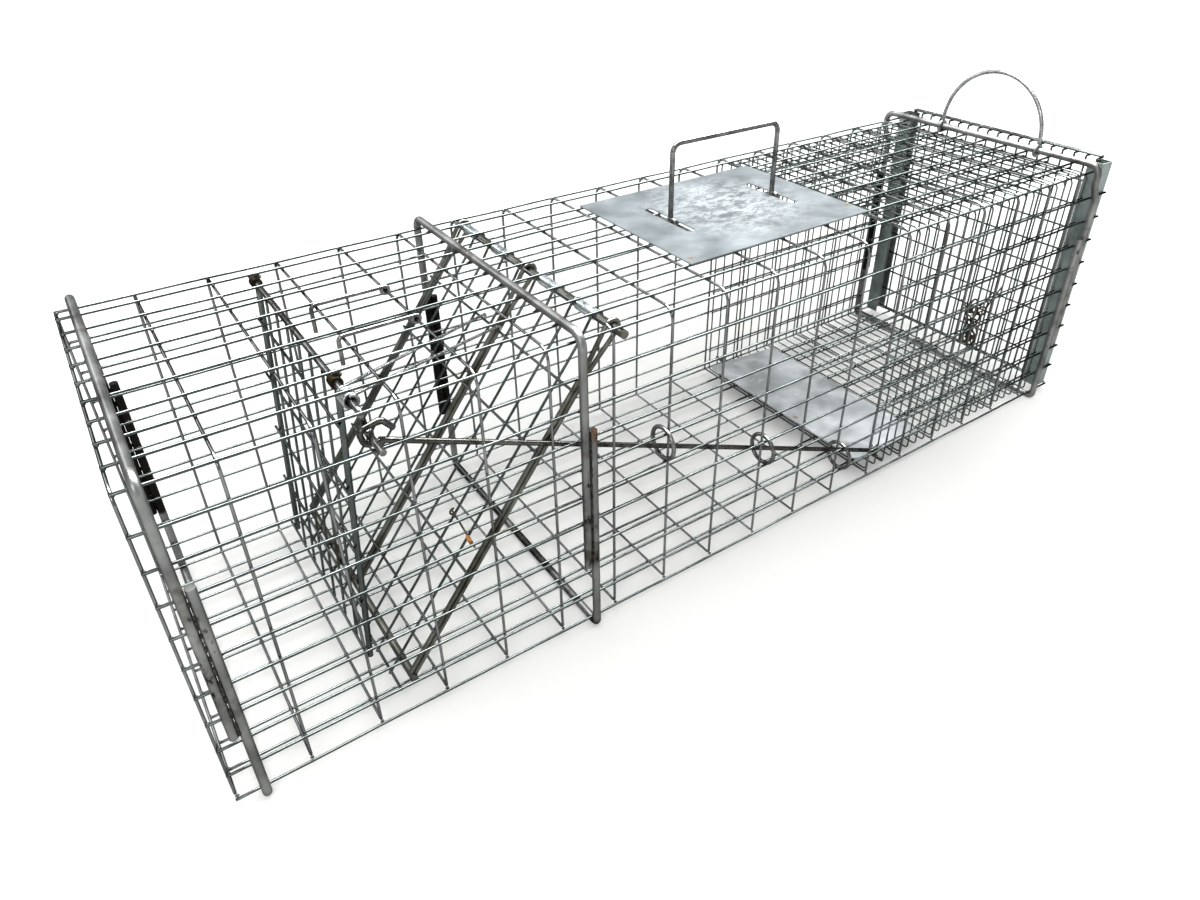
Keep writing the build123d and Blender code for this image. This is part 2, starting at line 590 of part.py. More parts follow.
NODES = {
    "floor_mesh": floor_mesh(),
    "roof_mesh": roof_mesh(),
    "roof_corner_bends": roof_corner_bends(),
    "left_side_mesh": side_mesh(1),
    "right_side_mesh": side_mesh(-1),
    "liner_floor": liner_floor(),
    "liner_roof": liner_roof(),
    "liner_corner_bends": liner_corner_bends(),
    "liner_left": liner_side(1),
    "liner_right": liner_side(-1),
    "front_upper_frame": [upper_frame(FRONT_FRAME_X)],
    "front_lower_frame": [lower_frame(FRONT_FRAME_X + FRAME_STEP)],
    "middle_upper_frame": [upper_frame(MIDDLE_FRAME_X)],
    "middle_lower_frame": [lower_frame(MIDDLE_FRAME_X + FRAME_STEP)],
    "rear_upper_frame": [rear_upper_frame()],
    "rear_lower_frame": [lower_frame(REAR_LOWER_X)],
    "door_hinge_rod": [door_hinge_rod()],
    "hinge_sleeves": hinge_sleeves(),
    "flap_pin": [flap_pin()],
    "trip_rings": trip_rings(),
    "pan_axle": [pan_axle()],
    "handle_plate": handle_plate(),
    "left_rear_channel": rear_channel(1),
    "right_rear_channel": rear_channel(-1),
    "door_rods": door_rods(),
    "door_sill": [door_sill()],
    "door_mesh": door_mesh(),
    "lock_flap": lock_flap(),
    "door_spring": door_spring(),
    "left_latch_finger": latch_finger(FINGER_Y[0]),
    "right_latch_finger": latch_finger(FINGER_Y[1]),
    "trip_rod": trip_rod(),
    "pan": pan(),
    "rear_door_edges": rear_door_edges(),
    "rear_door_mesh": rear_door_mesh(),
    "rear_bail": rear_bail(),
    "carry_handle": carry_handle(),
}

os.makedirs("parts", exist_ok=True)
for node, solids in NODES.items():
    whole = Compound([solid.moved(Location(SHIFT)) for solid in solids])
    export_step(whole, f"parts/{node}.step")
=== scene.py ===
import math
import random

import bpy
import numpy as np
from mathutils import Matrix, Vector


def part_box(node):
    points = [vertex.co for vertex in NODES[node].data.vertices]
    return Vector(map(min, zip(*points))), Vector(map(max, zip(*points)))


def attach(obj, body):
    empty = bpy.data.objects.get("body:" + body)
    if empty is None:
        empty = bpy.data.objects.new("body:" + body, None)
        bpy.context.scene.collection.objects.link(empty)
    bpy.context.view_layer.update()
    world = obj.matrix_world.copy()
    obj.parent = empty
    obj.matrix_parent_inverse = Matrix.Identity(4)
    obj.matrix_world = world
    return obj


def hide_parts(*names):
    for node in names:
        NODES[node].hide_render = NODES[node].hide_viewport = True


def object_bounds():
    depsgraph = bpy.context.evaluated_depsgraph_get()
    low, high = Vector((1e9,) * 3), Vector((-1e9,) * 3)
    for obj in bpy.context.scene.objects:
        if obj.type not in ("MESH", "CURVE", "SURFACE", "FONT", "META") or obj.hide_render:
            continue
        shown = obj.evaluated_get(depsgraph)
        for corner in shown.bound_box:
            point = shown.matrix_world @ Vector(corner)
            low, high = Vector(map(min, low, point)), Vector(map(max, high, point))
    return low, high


# Looks for the live catch trap. Metres, +X to the rear, +Z up, as in the CAD frame.

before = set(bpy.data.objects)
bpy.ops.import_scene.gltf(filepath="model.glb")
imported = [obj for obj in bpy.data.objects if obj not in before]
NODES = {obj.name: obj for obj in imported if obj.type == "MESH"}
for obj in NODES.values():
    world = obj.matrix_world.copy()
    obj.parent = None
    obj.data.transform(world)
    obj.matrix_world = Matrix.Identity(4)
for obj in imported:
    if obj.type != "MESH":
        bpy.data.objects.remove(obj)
CAD_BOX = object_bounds()
RNG = random.Random(7)
MM = 0.001
INCH = 0.0254

# Camera
CAMERA_AT = (-0.43719, -0.53701, 0.52907)
CAMERA_TURN = (57.063, 0.396, -34.488)
CAMERA_LENS = 25.459
CAMERA_SHIFT = (-0.00889, -0.03763)

# Wires
WIRE_R = 1.05 * MM
LINER_R = 0.8 * MM
FRAME_R = 3.175 * MM
LAYER = 2.12 * MM                   # between two crossing wires of the cage, door or flap
REAR_DOOR_LAYER = 2.02 * MM
ROOF_BEND = 10.0 * MM
LINER_BEND = 6.0 * MM
FOOT_BEND = 3.0 * MM
WIRE_WAVE = 0.28 * MM
WAVE_STEP = 16 * MM
WAVES_PER_METRE = (2.3, 5.1, 9.7)
SIDES = 12
BEND_STEPS = 6

# Welds
CAGE_WELD = 1.5 * MM
LINER_WELD = 1.15 * MM
REAR_DOOR_WELD = 1.4 * MM

# Looks
EDGE_TINT = (0.12, 0.12, 0.12, 1)   # keeps a wire's grazing edges dark
WIRE_CREASE = 75
SHEET_CREASE = 35
SHEET_BEVEL = 0.25 * MM


# Mesh building

class Builder:
    """Collects tubes and beads, then makes one smooth mesh object of them."""

    def __init__(self):
        self.points = []
        self.faces = []
        self.count = 0

    def add(self, points, faces):
        self.points.append(np.asarray(points, float))
        self.faces += [tuple(i + self.count for i in face) for face in faces]
        self.count += len(points)

    def make(self, name, body, material, replaces=()):
        mesh = bpy.data.meshes.new(name)
        mesh.from_pydata(np.concatenate(self.points).tolist(), [], self.faces)
        mesh.polygons.foreach_set("use_smooth", [True] * len(mesh.polygons))
        mesh.materials.append(material)
        mesh.update()
        piece = bpy.data.objects.new(name, mesh)
        bpy.context.scene.collection.objects.link(piece)
        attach(piece, body)
        if replaces:
            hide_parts(*replaces)
        return piece


def path_frames(path, closed):
    """Two unit vectors across the path at each point, turned as little as possible along it."""
    ahead = np.roll(path, -1, 0) - path
    behind = path - np.roll(path, 1, 0)
    if not closed:
        ahead[-1], behind[0] = behind[-1], ahead[0]
    along = ahead / np.linalg.norm(ahead, axis=1)[:, None] + behind / np.linalg.norm(behind, axis=1)[:, None]
    along /= np.linalg.norm(along, axis=1)[:, None]
    across = np.cross(along[0], (0, 0, 1) if abs(along[0][2]) < 0.9 else (0, 1, 0))
    first = []
    for t in along:
        across = across - t * across.dot(t)
        across /= np.linalg.norm(across)
        first.append(across)
    first = np.array(first)
    return along, first, np.cross(along, first)


def tube(builder, path, radius, sides=SIDES, closed=False):
    """A round wire along the path, with slightly rounded ends."""
    path = np.asarray(path, float)
    radii = np.full(len(path), radius)
    if not closed:
        start = (path[1] - path[0]) / np.linalg.norm(path[1] - path[0])
        end = (path[-1] - path[-2]) / np.linalg.norm(path[-1] - path[-2])
        rim = radius * 0.35
        first_rim = [path[0], path[0] + start * rim]
        last_rim = [path[-1] - end * rim, path[-1]]
        path = np.concatenate([first_rim, path[1:-1], last_rim])
        radii = np.concatenate([[radius * 0.7, radius], radii[1:-1], [radius, radius * 0.7]])
    _, first, second = path_frames(path, closed)
    turn = np.arange(sides) * 2 * math.pi / sides
    ring = np.cos(turn)[None, :, None] * first[:, None] + np.sin(turn)[None, :, None] * second[:, None]
    points = (path[:, None] + ring * radii[:, None, None]).reshape(-1, 3)
    faces = []
    rings = len(path)
    for i in range(rings if closed else rings - 1):
        j = (i + 1) % rings
        for k in range(sides):
            m = (k + 1) % sides
            faces.append((i * sides + k, i * sides + m, j * sides + m, j * sides + k))
    if not closed:
        faces.append(tuple(range(sides))[::-1])
        faces.append(tuple((rings - 1) * sides + k for k in range(sides)))
    builder.add(points, faces)


def ball(rings=4, sides=8):
    """Points and faces of a unit ball, for weld nuggets."""
    points, faces = [(0, 0, 1)], []
    for i in range(1, rings):
        tilt = math.pi * i / rings
        for k in range(sides):
            turn = 2 * math.pi * k / sides
            points.append((math.sin(tilt) * math.cos(turn), math.sin(tilt) * math.sin(turn), math.cos(tilt)))
    points.append((0, 0, -1))
    last = len(points) - 1
    for k in range(sides):
        m = (k + 1) % sides
        faces.append((0, 1 + k, 1 + m))
        faces.append((last, last - sides + m, last - sides + k))
        for i in range(rings - 2):
            a = 1 + i * sides
            faces.append((a + k, a + sides + k, a + sides + m, a + m))
    return np.array(points), faces


BALL = ball()


def nugget(builder, centre, normal, size, flat=0.72):
    """A weld nugget: a squashed ball, flattest along normal, a little uneven."""
    normal = np.asarray(normal, float) / np.linalg.norm(normal)
    across = np.cross(normal, (1, 0, 0) if abs(normal[0]) < 0.9 else (0, 1, 0))
    across /= np.linalg.norm(across)
    third = np.cross(normal, across)
    scale = [size * RNG.uniform(0.9, 1.12), size * RNG.uniform(0.9, 1.12), size * flat]
    points = BALL[0] * scale
    builder.add(np.asarray(centre) + points @ np.array([across, third, normal]), BALL[1])


def blob(builder, centre, radii):
    """A lump of weld metal with the given half sizes along X, Y and Z, a little uneven."""
    scale = [r * RNG.uniform(0.8, 1.15) for r in radii]
    builder.add(np.asarray(centre) + BALL[0] * scale, BALL[1])


def wavy_line(start, end, wave=WIRE_WAVE):
    """Points along a nearly straight wire: it wanders a little and is true at its ends."""
    start, end = np.asarray(start, float), np.asarray(end, float)
    length = np.linalg.norm(end - start)
    along = (end - start) / length
    across = np.cross(along, (0, 0, 1) if abs(along[2]) < 0.9 else (0, 1, 0))
    across /= np.linalg.norm(across)
    other = np.cross(along, across)
    share = np.linspace(0, 1, max(4, int(length / WAVE_STEP)))
    hold = np.clip(np.minimum(share, 1 - share) * 12, 0, 1)
    drift = np.zeros((len(share), 3))
    for direction in (across, other):
        for waves in WAVES_PER_METRE:
            size = wave * RNG.uniform(0.2, 1.0) / math.sqrt(waves / WAVES_PER_METRE[0])
            turn = share * 2 * math.pi * waves * length + RNG.uniform(0, 6.3)
            drift += np.outer(np.sin(turn) * size * hold, direction)
    return start + np.outer(share * length, along) + drift


# Reading the frame

def solids(node):
    """The points of each separate solid of a CAD node."""
    mesh = NODES[node].data
    keys, merged = {}, []
    for v in mesh.vertices:
        merged.append(keys.setdefault(tuple(round(c, 6) for c in v.co), len(keys)))
    root = list(range(len(keys)))

    def find(i):
        while root[i] != i:
            root[i] = root[root[i]]
            i = root[i]
        return i

    for e in mesh.edges:
        a, b = find(merged[e.vertices[0]]), find(merged[e.vertices[1]])
        root[a] = b
    groups = {}
    for key, i in keys.items():
        groups.setdefault(find(i), []).append(key)
    return sorted((np.array(g) for g in groups.values()), key=lambda g: tuple(g.mean(0).round(5)))


def straight(points):
    """(start, end, radius) of a straight round solid."""
    centre = points.mean(0)
    along = np.linalg.svd(points - centre, full_matrices=False)[2][0]
    along = along * np.sign(along[np.argmax(abs(along))])
    t = (points - centre) @ along
    low, high = points[t < t.min() + 1e-4].mean(0), points[t > t.max() - 1e-4].mean(0)
    off = (points - low) - np.outer((points - low) @ along, along)
    return low, high, np.linalg.norm(off, axis=1).max()


def straights(node, axis):
    """The straight solids of a node that run along the given axis number."""
    found = [straight(s) for s in solids(node)]
    return [s for s in found if abs((s[1] - s[0])[axis]) > 0.9 * np.linalg.norm(s[1] - s[0])]


# Materials

def node_tools(name):
    """A new material with its node tree, its shader and the object's own coordinates."""
    material = bpy.data.materials.new(name)
    material.use_nodes = True
    tree = material.node_tree
    shader = tree.nodes["Principled BSDF"]
    place = tree.nodes.new("ShaderNodeTexCoord").outputs["Object"]
    return material, tree, shader, place


def noise(tree, place, scale, detail=3.0, rough=0.55, stretch=None):
    """A noise value; stretch scales the coordinates first."""
    if stretch:
        mapping = tree.nodes.new("ShaderNodeMapping")
        mapping.inputs["Scale"].default_value = stretch
        tree.links.new(place, mapping.inputs["Vector"])
        place = mapping.outputs["Vector"]
    n = tree.nodes.new("ShaderNodeTexNoise")
    n.inputs["Scale"].default_value = scale
    n.inputs["Detail"].default_value = detail
    n.inputs["Roughness"].default_value = rough
    tree.links.new(place, n.inputs["Vector"])
    return n.outputs["Fac"]


def ramp(tree, value, stops):
    """A colour ramp; stops are (position, colour)."""
    r = tree.nodes.new("ShaderNodeValToRGB")
    tree.links.new(value, r.inputs["Fac"])
    while len(r.color_ramp.elements) < len(stops):
        r.color_ramp.elements.new(0.5)
    for element, (position, colour) in zip(r.color_ramp.elements, stops):
        element.position = position
        element.color = (*colour, 1)
    return r.outputs["Color"]


def mix(tree, mask, a, b):
    """Colour a where the mask is 0 and b where it is 1; each is a tuple or an output."""
    m = tree.nodes.new("ShaderNodeMix")
    m.data_type = "RGBA"
    tree.links.new(mask, m.inputs["Factor"])
    for socket, value in ((m.inputs[6], a), (m.inputs[7], b)):
        if isinstance(value, tuple):
            socket.default_value = (*value, 1)
        else:
            tree.links.new(value, socket)
    return m.outputs[2]


def spread(tree, value, low, high, to_low, to_high):
    """The value carried from one range to another, and held at its ends."""
    m = tree.nodes.new("ShaderNodeMapRange")
    tree.links.new(value, m.inputs["Value"])
    for name, number in (("From Min", low), ("From Max", high), ("To Min", to_low), ("To Max", to_high)):
        m.inputs[name].default_value = number
    return m.outputs["Result"]


def bump(tree, shader, height, strength, distance):
    b = tree.nodes.new("ShaderNodeBump")
    b.inputs["Strength"].default_value = strength
    b.inputs["Distance"].default_value = distance
    tree.links.new(height, b.inputs["Height"])
    tree.links.new(b.outputs["Normal"], shader.inputs["Normal"])


def flow(tree, value, other, operation):
    """The result of a math node on two values; each is a number or an output."""
    m = tree.nodes.new("ShaderNodeMath")
    m.operation = operation
    for socket, item in zip(m.inputs, (value, other)):
        if isinstance(item, (int, float)):
            socket.default_value = item
        else:
            tree.links.new(item, socket)
    return m.outputs[0]


def axes(tree, place):
    """The X, Y and Z outputs of a position."""
    parts = tree.nodes.new("ShaderNodeSeparateXYZ")
    tree.links.new(place, parts.inputs[0])
    return parts.outputs


def zinc(name, light, dark, stain, metal, rough, stain_share=0.64, pitting=0.15, finish=None):
    """Zinc on steel: cloudy grey, darker stained patches, fine pitting; finish may mix in more."""
    material, tree, shader, place = node_tools(name)
    cloud = noise(tree, place, 30, 3)
    middle = tuple((a + b) / 2 for a, b in zip(light, dark))
    base = ramp(tree, cloud, ((0.32, dark), (0.52, middle), (0.68, light)))
    patches = spread(tree, noise(tree, place, 17, 4, 0.65), stain_share - 0.05, stain_share + 0.05, 0, 0.85)
    base = mix(tree, patches, base, stain)
    fine = noise(tree, place, 420, 2)
    dull = spread(tree, cloud, 0.3, 0.7, rough - 0.03, rough + 0.06)
    if finish:
        base, dull = finish(tree, place, base, dull)
    tree.links.new(base, shader.inputs["Base Color"])
    tree.links.new(dull, shader.inputs["Roughness"])
    shader.inputs["Metallic"].default_value = metal
    shader.inputs["Specular Tint"].default_value = EDGE_TINT
    bump(tree, shader, fine, pitting, 0.03 * MM)
    return material


def band(tree, value, low, high, edge):
    """1 between low and high, falling to 0 over the edge width outside them."""
    up = spread(tree, value, low - edge, low, 0, 1)
    down = spread(tree, value, high, high + edge, 1, 0)
    return flow(tree, up, down, "MULTIPLY")


def soot_and_far_leg_shade(tree, place, base, dull):
    """Over the lapped legs of a frame: painted shade, heavy near-black on the left (far) side, and weld soot
    in specks on the right.
    """
    x, y, z = axes(tree, place)
    lap = band(tree, z, LAP_LOW, LAP_HIGH, 3 * MM)
    left = spread(tree, y, 0.02, 0.03, 0, 1)
    # Heavy near-black on the left (far) legs is painted shade; the specks on the right are weld soot.
    far_shade = spread(tree, noise(tree, place, 70, 5, 0.7), 0.3, 0.36, 0.7, 1)
    specks = spread(tree, noise(tree, place, 260, 5, 0.75, (1, 1, 0.35)), 0.55, 0.6, 0, 1)
    inner = spread(tree, noise(tree, place, 45, 3), 0.46, 0.56, 0, 1)
    right = flow(tree, flow(tree, specks, inner, "MULTIPLY"), 0.95, "MULTIPLY")
    # Painted shade on the far side and weld soot on the near side, mixed into one mask.
    soot_and_shade = mix(tree, left, right, far_shade)
    soot_and_shade = flow(tree, soot_and_shade, lap, "MULTIPLY")
    base = mix(tree, soot_and_shade, base, (0.012, 0.011, 0.01))
    dull = mix(tree, soot_and_shade, dull, (0.8, 0.8, 0.8))
    return base, dull


def rusty_end(tree, place, base, dull):
    """Weld soot and painted shade on the lapped legs, as for the other frames, with the brown cut end of the
    right leg and the bar at floor level darkened towards near-black.
    """
    base, dull = soot_and_far_leg_shade(tree, place, base, dull)
    x, y, z = axes(tree, place)
    cut = band(tree, z, LAP_HIGH - 9 * MM, LAP_HIGH + 2 * MM, 4 * MM)
    brown = flow(tree, cut, spread(tree, noise(tree, place, 160, 4, 0.7), 0.4, 0.55, 0, 0.8), "MULTIPLY")
    brown = flow(tree, brown, spread(tree, y, -0.02, 0, 1, 0), "MULTIPLY")
    base = mix(tree, brown, base, (0.1, 0.045, 0.02))
    bar = spread(tree, z, FLOOR_Z - 1 * MM, FLOOR_Z + 4 * MM, 1, 0)
    bar = flow(tree, bar, spread(tree, noise(tree, place, 38, 4, 0.7), 0.42, 0.55, 0.25, 1), "MULTIPLY")
    base = mix(tree, bar, base, (0.02, 0.02, 0.018))
    return base, dull


def burnt_knuckles(tree, place, base, dull):
    """Brown weld scale round the flap's pin."""
    x, y, z = axes(tree, place)
    over = flow(tree, flow(tree, x, PIN_AT[0], "SUBTRACT"), 2, "POWER")
    up = flow(tree, flow(tree, z, PIN_AT[2], "SUBTRACT"), 2, "POWER")
    away = flow(tree, flow(tree, over, up, "ADD"), 0.5, "POWER")
    scale = flow(tree, spread(tree, away, 5.5 * MM, 9 * MM, 1, 0),
                 spread(tree, noise(tree, place, 150, 4, 0.7), 0.35, 0.5, 0.55, 1), "MULTIPLY")
    base = mix(tree, scale, base, (0.022, 0.016, 0.009))
    dull = mix(tree, scale, dull, (0.6, 0.6, 0.6))
    return base, dull


def sheet_steel(name, light, dark, bloom_colour, bloom_share, rough, metal, middle=None, spots=()):
    """Galvanised sheet: cloudy zinc, a faint spangle, white bloom gathered round the middle, scratches,
    and small rust spots at given places."""
    material, tree, shader, place = node_tools(name)
    cells = tree.nodes.new("ShaderNodeTexVoronoi")
    cells.inputs["Scale"].default_value = 150
    tree.links.new(place, cells.inputs["Vector"])
    spangle = tree.nodes.new("ShaderNodeSeparateColor")
    tree.links.new(cells.outputs["Color"], spangle.inputs["Color"])
    cloud = noise(tree, place, 26, 6, 0.62)
    base = ramp(tree, cloud, ((0.34, dark), (0.66, light)))
    base = mix(tree, spread(tree, spangle.outputs["Red"], 0, 1, 0, 0.1), base, tuple(c * 0.6 for c in dark))
    scuffs = noise(tree, place, 75, 9, 0.78, (1, 1.6, 1))
    bloom = spread(tree, scuffs, bloom_share, bloom_share + 0.06, 0, 0.85)
    if middle:
        away = tree.nodes.new("ShaderNodeVectorMath")
        away.operation = "DISTANCE"
        tree.links.new(place, away.inputs[0])
        away.inputs[1].default_value = middle
        bloom = flow(tree, bloom, spread(tree, away.outputs["Value"], 0.02, 0.085, 1, 0), "MULTIPLY")
    base = mix(tree, bloom, base, bloom_colour)
    lines = spread(tree, noise(tree, place, 60, 5, 0.6, (1, 18, 1)), 0.66, 0.7, 0, 0.4)
    base = mix(tree, lines, base, tuple(c * 0.6 for c in dark))
    for spot in spots:
        near = tree.nodes.new("ShaderNodeVectorMath")
        near.operation = "DISTANCE"
        tree.links.new(place, near.inputs[0])
        near.inputs[1].default_value = spot
        uneven = spread(tree, cloud, 0.3, 0.7, -1.2 * MM, 1.2 * MM)
        rough_edge = flow(tree, near.outputs["Value"], uneven, "ADD")
        base = mix(tree, spread(tree, rough_edge, 1.2 * MM, 3 * MM, 0.85, 0), base, (0.2, 0.1, 0.035))
    tree.links.new(base, shader.inputs["Base Color"])
    tree.links.new(spread(tree, cloud, 0.3, 0.7, rough - 0.08, rough + 0.14), shader.inputs["Roughness"])
    shader.inputs["Metallic"].default_value = metal
    shader.inputs["Specular IOR Level"].default_value = 0.15
    bump(tree, shader, noise(tree, place, 24, 4), 0.5, 0.6 * MM)
    return material


def plain_metal(name, light, dark, metal, rough, scale=90):
    """Drawn wire, weld metal or rust: two tones mixed by a fine noise."""
    material, tree, shader, place = node_tools(name)
    base = ramp(tree, noise(tree, place, scale, 5, 0.6), ((0.36, dark), (0.64, light)))
    tree.links.new(base, shader.inputs["Base Color"])
    fine = noise(tree, place, scale * 7, 2)
    tree.links.new(spread(tree, fine, 0.3, 0.7, rough - 0.08, rough + 0.1), shader.inputs["Roughness"])
    shader.inputs["Metallic"].default_value = metal
    shader.inputs["Specular Tint"].default_value = EDGE_TINT
    bump(tree, shader, fine, 0.08, 0.02 * MM)
    return material


def work(x, y, z):
    """A point measured in inches from the cage's front end, its middle line and its floor."""
    return (x * INCH + FRONT_X, y * INCH + OFFSET_Y, z * INCH + FLOOR_Z)


low_corner, high_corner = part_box("roof_mesh")
OFFSET_Y = (low_corner[1] + high_corner[1]) / 2
FRONT_X = low_corner[0] + WIRE_R
FLOOR_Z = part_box("floor_mesh")[0][2] + WIRE_R
PIN_AT = work(5.2, 0, 9.8)
LAP_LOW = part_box("middle_upper_frame")[0][2]
LAP_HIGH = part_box("middle_lower_frame")[1][2]

MESH_TONES = (0.1, 0.112, 0.11), (0.05, 0.058, 0.056), (0.04, 0.034, 0.02)
# The hoops are the same wire as the lengthwise wires, in lighter tones: painted sheen for the highlights they
# catch.
HOOP_SHEEN_TONES = (0.2, 0.205, 0.21), (0.1, 0.106, 0.105), (0.055, 0.047, 0.028)
LINER_TONES = (0.15, 0.17, 0.165), (0.06, 0.072, 0.066), (0.045, 0.042, 0.022)
ROD_TONES = (0.23, 0.235, 0.23), (0.1, 0.102, 0.1), (0.045, 0.038, 0.027)
DOOR_TONES = (0.16, 0.16, 0.14), (0.06, 0.06, 0.052), (0.035, 0.03, 0.018)
NUGGET_TONES = (0.12, 0.125, 0.12), (0.035, 0.036, 0.034), (0.03, 0.024, 0.014)
PLATE_TONES = (0.22, 0.248, 0.26), (0.145, 0.166, 0.174), (0.46, 0.49, 0.51)
PAN_TONES = (0.42, 0.43, 0.45), (0.27, 0.29, 0.29), (0.6, 0.6, 0.62)
CHANNEL_TONES = (0.24, 0.28, 0.27), (0.11, 0.135, 0.13), (0.4, 0.45, 0.44)
PLATE_SPOTS = work(16.35, -2.75, 10.25), work(23.7, -2.3, 10.25)
PAN_SPOTS = (work(23.95, -1.07, 0.55),)

WIRE = zinc("galvanised_wire", *MESH_TONES, metal=1.0, rough=0.19, stain_share=0.66, pitting=0.02)
# Lighter copy of the wire material for the hoops: painted sheen.
SHEEN_HOOP = zinc("hoop_wire_painted_sheen", *HOOP_SHEEN_TONES, metal=1.0, rough=0.2, stain_share=0.66, pitting=0.02)
LINER = zinc("liner_wire", *LINER_TONES, metal=1.0, rough=0.2, stain_share=0.66, pitting=0.02)
FLAP = zinc("flap_wire", *MESH_TONES, metal=1.0, rough=0.19, stain_share=0.66, pitting=0.02,
            finish=burnt_knuckles)
ROD = zinc("galvanised_rod", *ROD_TONES, metal=0.85, rough=0.34, stain_share=0.6, finish=soot_and_far_leg_shade)
LOWER_ROD = zinc("lower_rod", *ROD_TONES, metal=0.85, rough=0.34, stain_share=0.6, finish=rusty_end)
DOOR_ROD = zinc("door_rod", *DOOR_TONES, metal=0.9, rough=0.28, stain_share=0.58)
WELDED = zinc("welded_crossing", *NUGGET_TONES, metal=0.8, rough=0.4)
PLATE = sheet_steel("plate_sheet", *PLATE_TONES, bloom_share=0.47, rough=0.42, metal=0.15,
                    middle=work(20.3, 0.2, 10.2), spots=PLATE_SPOTS)
PAN = sheet_steel("pan_sheet", *PAN_TONES, bloom_share=0.6, rough=0.36, metal=0.3, spots=PAN_SPOTS)
CHANNEL = sheet_steel("channel_sheet", *CHANNEL_TONES, bloom_share=0.62, rough=0.4, metal=0.6)
BRIGHT = plain_metal("bright_wire", (0.2, 0.2, 0.195), (0.07, 0.07, 0.068), 0.95, 0.24)
DARK = plain_metal("dark_wire", (0.1, 0.098, 0.09), (0.03, 0.03, 0.028), 0.95, 0.25)
BAIL = plain_metal("bail_wire", (0.42, 0.42, 0.43), (0.2, 0.2, 0.2), 0.95, 0.25)
SPRING = plain_metal("zinc_spring", (0.3, 0.31, 0.31), (0.16, 0.17, 0.17), 0.95, 0.26)
SLEEVE = plain_metal("zinc_sleeve", (0.62, 0.68, 0.7), (0.3, 0.34, 0.35), 0.9, 0.3, 60)
WELD = plain_metal("weld_metal", (0.05, 0.048, 0.042), (0.012, 0.011, 0.01), 0.5, 0.5, 260)
RUST = plain_metal("rust", (0.42, 0.18, 0.035), (0.2, 0.08, 0.02), 0.1, 0.75, 320)
TIE = plain_metal("tie_wire", (0.05, 0.034, 0.018), (0.01, 0.008, 0.006), 0.2, 0.65, 240)


# Cage mesh

def rounded_loop(half, low, high, foot, roof, step):
    """A closed loop in Y and Z: tight corners at the foot, wide ones at the roof."""
    corners = [((half, low), foot), ((half, high), roof), ((-half, high), roof), ((-half, low), foot)]
    points = []
    for i, ((y, z), radius) in enumerate(corners):
        centre = Vector((y - math.copysign(radius, y), z + (radius if z == low else -radius)))
        start = math.radians((-90, 0, 90, 180)[i])
        for k in range(BEND_STEPS + 1):
            a = start + math.radians(90) * k / BEND_STEPS
            points.append((centre.x + radius * math.cos(a), centre.y + radius * math.sin(a)))
        y_next, z_next = corners[(i + 1) % 4][0]
        r_next = corners[(i + 1) % 4][1]
        last = Vector(points[-1])
        run = Vector((y_next - y, z_next - z)).normalized()
        span = (Vector((y_next, z_next)) - Vector((y, z))).length - radius - r_next
        count = max(2, int(span / step))
        points += [tuple(last + run * span * k / count) for k in range(1, count)]
    return np.array(points)


def nearest_on_loop(loop, y, z):
    """The loop's nearest point to (y, z)."""
    ends = np.roll(loop, -1, 0)
    run = ends - loop
    t = np.clip(((np.array((y, z)) - loop) * run).sum(1) / (run * run).sum(1), 0, 1)
    near = loop + run * t[:, None]
    return near[np.argmin(np.linalg.norm(near - (y, z), axis=1))]


def hoops(name, uprights, floor_hoops, roof_hoops, radius, bend, material, replaces):
    """Whole bent hoops in place of a wall's separate straight runs and corner bends."""
    builder = Builder()
    half = abs(uprights[0][0][1] - OFFSET_Y)
    low, high = floor_hoops[0][0][2], roof_hoops[0][0][2]
    loop = rounded_loop(half, low, high, FOOT_BEND, bend, WAVE_STEP)
    for start, _, _ in uprights:
        wave = np.array([RNG.gauss(0, 1) for _ in range(2)]) * WIRE_WAVE * 0.6
        if start[0] - uprights[0][0][0] < MM:
            wave *= 0
        turn = np.arctan2(loop[:, 1] - (low + high) / 2, loop[:, 0])
        x = start[0] + wave[0] * np.sin(2 * turn) + wave[1] * np.cos(3 * turn)
        path = np.column_stack([x, loop[:, 0] + OFFSET_Y, loop[:, 1]])
        tube(builder, path, radius, closed=True)
    xs = [u[0][0] for u in uprights]
    for start, end, _ in floor_hoops:
        if min(abs(start[0] - x) for x in xs) > 2 * MM:
            tube(builder, wavy_line(start, end, 0), radius)
    builder.make(name, "cage", material, replaces)
    return loop, xs


def long_wires(name, node, radius, material):
    builder = Builder()
    lines = straights(node, 0)
    for start, end, _ in lines:
        tube(builder, wavy_line(start, end), radius)
    builder.make(name, "cage", material, (node,))
    return lines


def wall_welds(name, loop, xs, lines, size):
    """A weld nugget wherever a lengthwise wire crosses a hoop."""
    builder = Builder()
    for start, end, _ in lines:
        near = nearest_on_loop(loop, start[1] - OFFSET_Y, start[2])
        normal = np.array((0, start[1] - OFFSET_Y - near[0], start[2] - near[1]))
        for x in xs:
            if start[0] - MM < x < end[0] + MM:
                inward = min(max(x, CAD_BOX[0][0] + 1.15 * size), CAD_BOX[1][0] - 1.15 * size)
                centre = (inward, (start[1] + near[0] + OFFSET_Y) / 2, (start[2] + near[1]) / 2)
                nugget(builder, centre, normal, size)
    builder.make(name, "cage", WELDED)


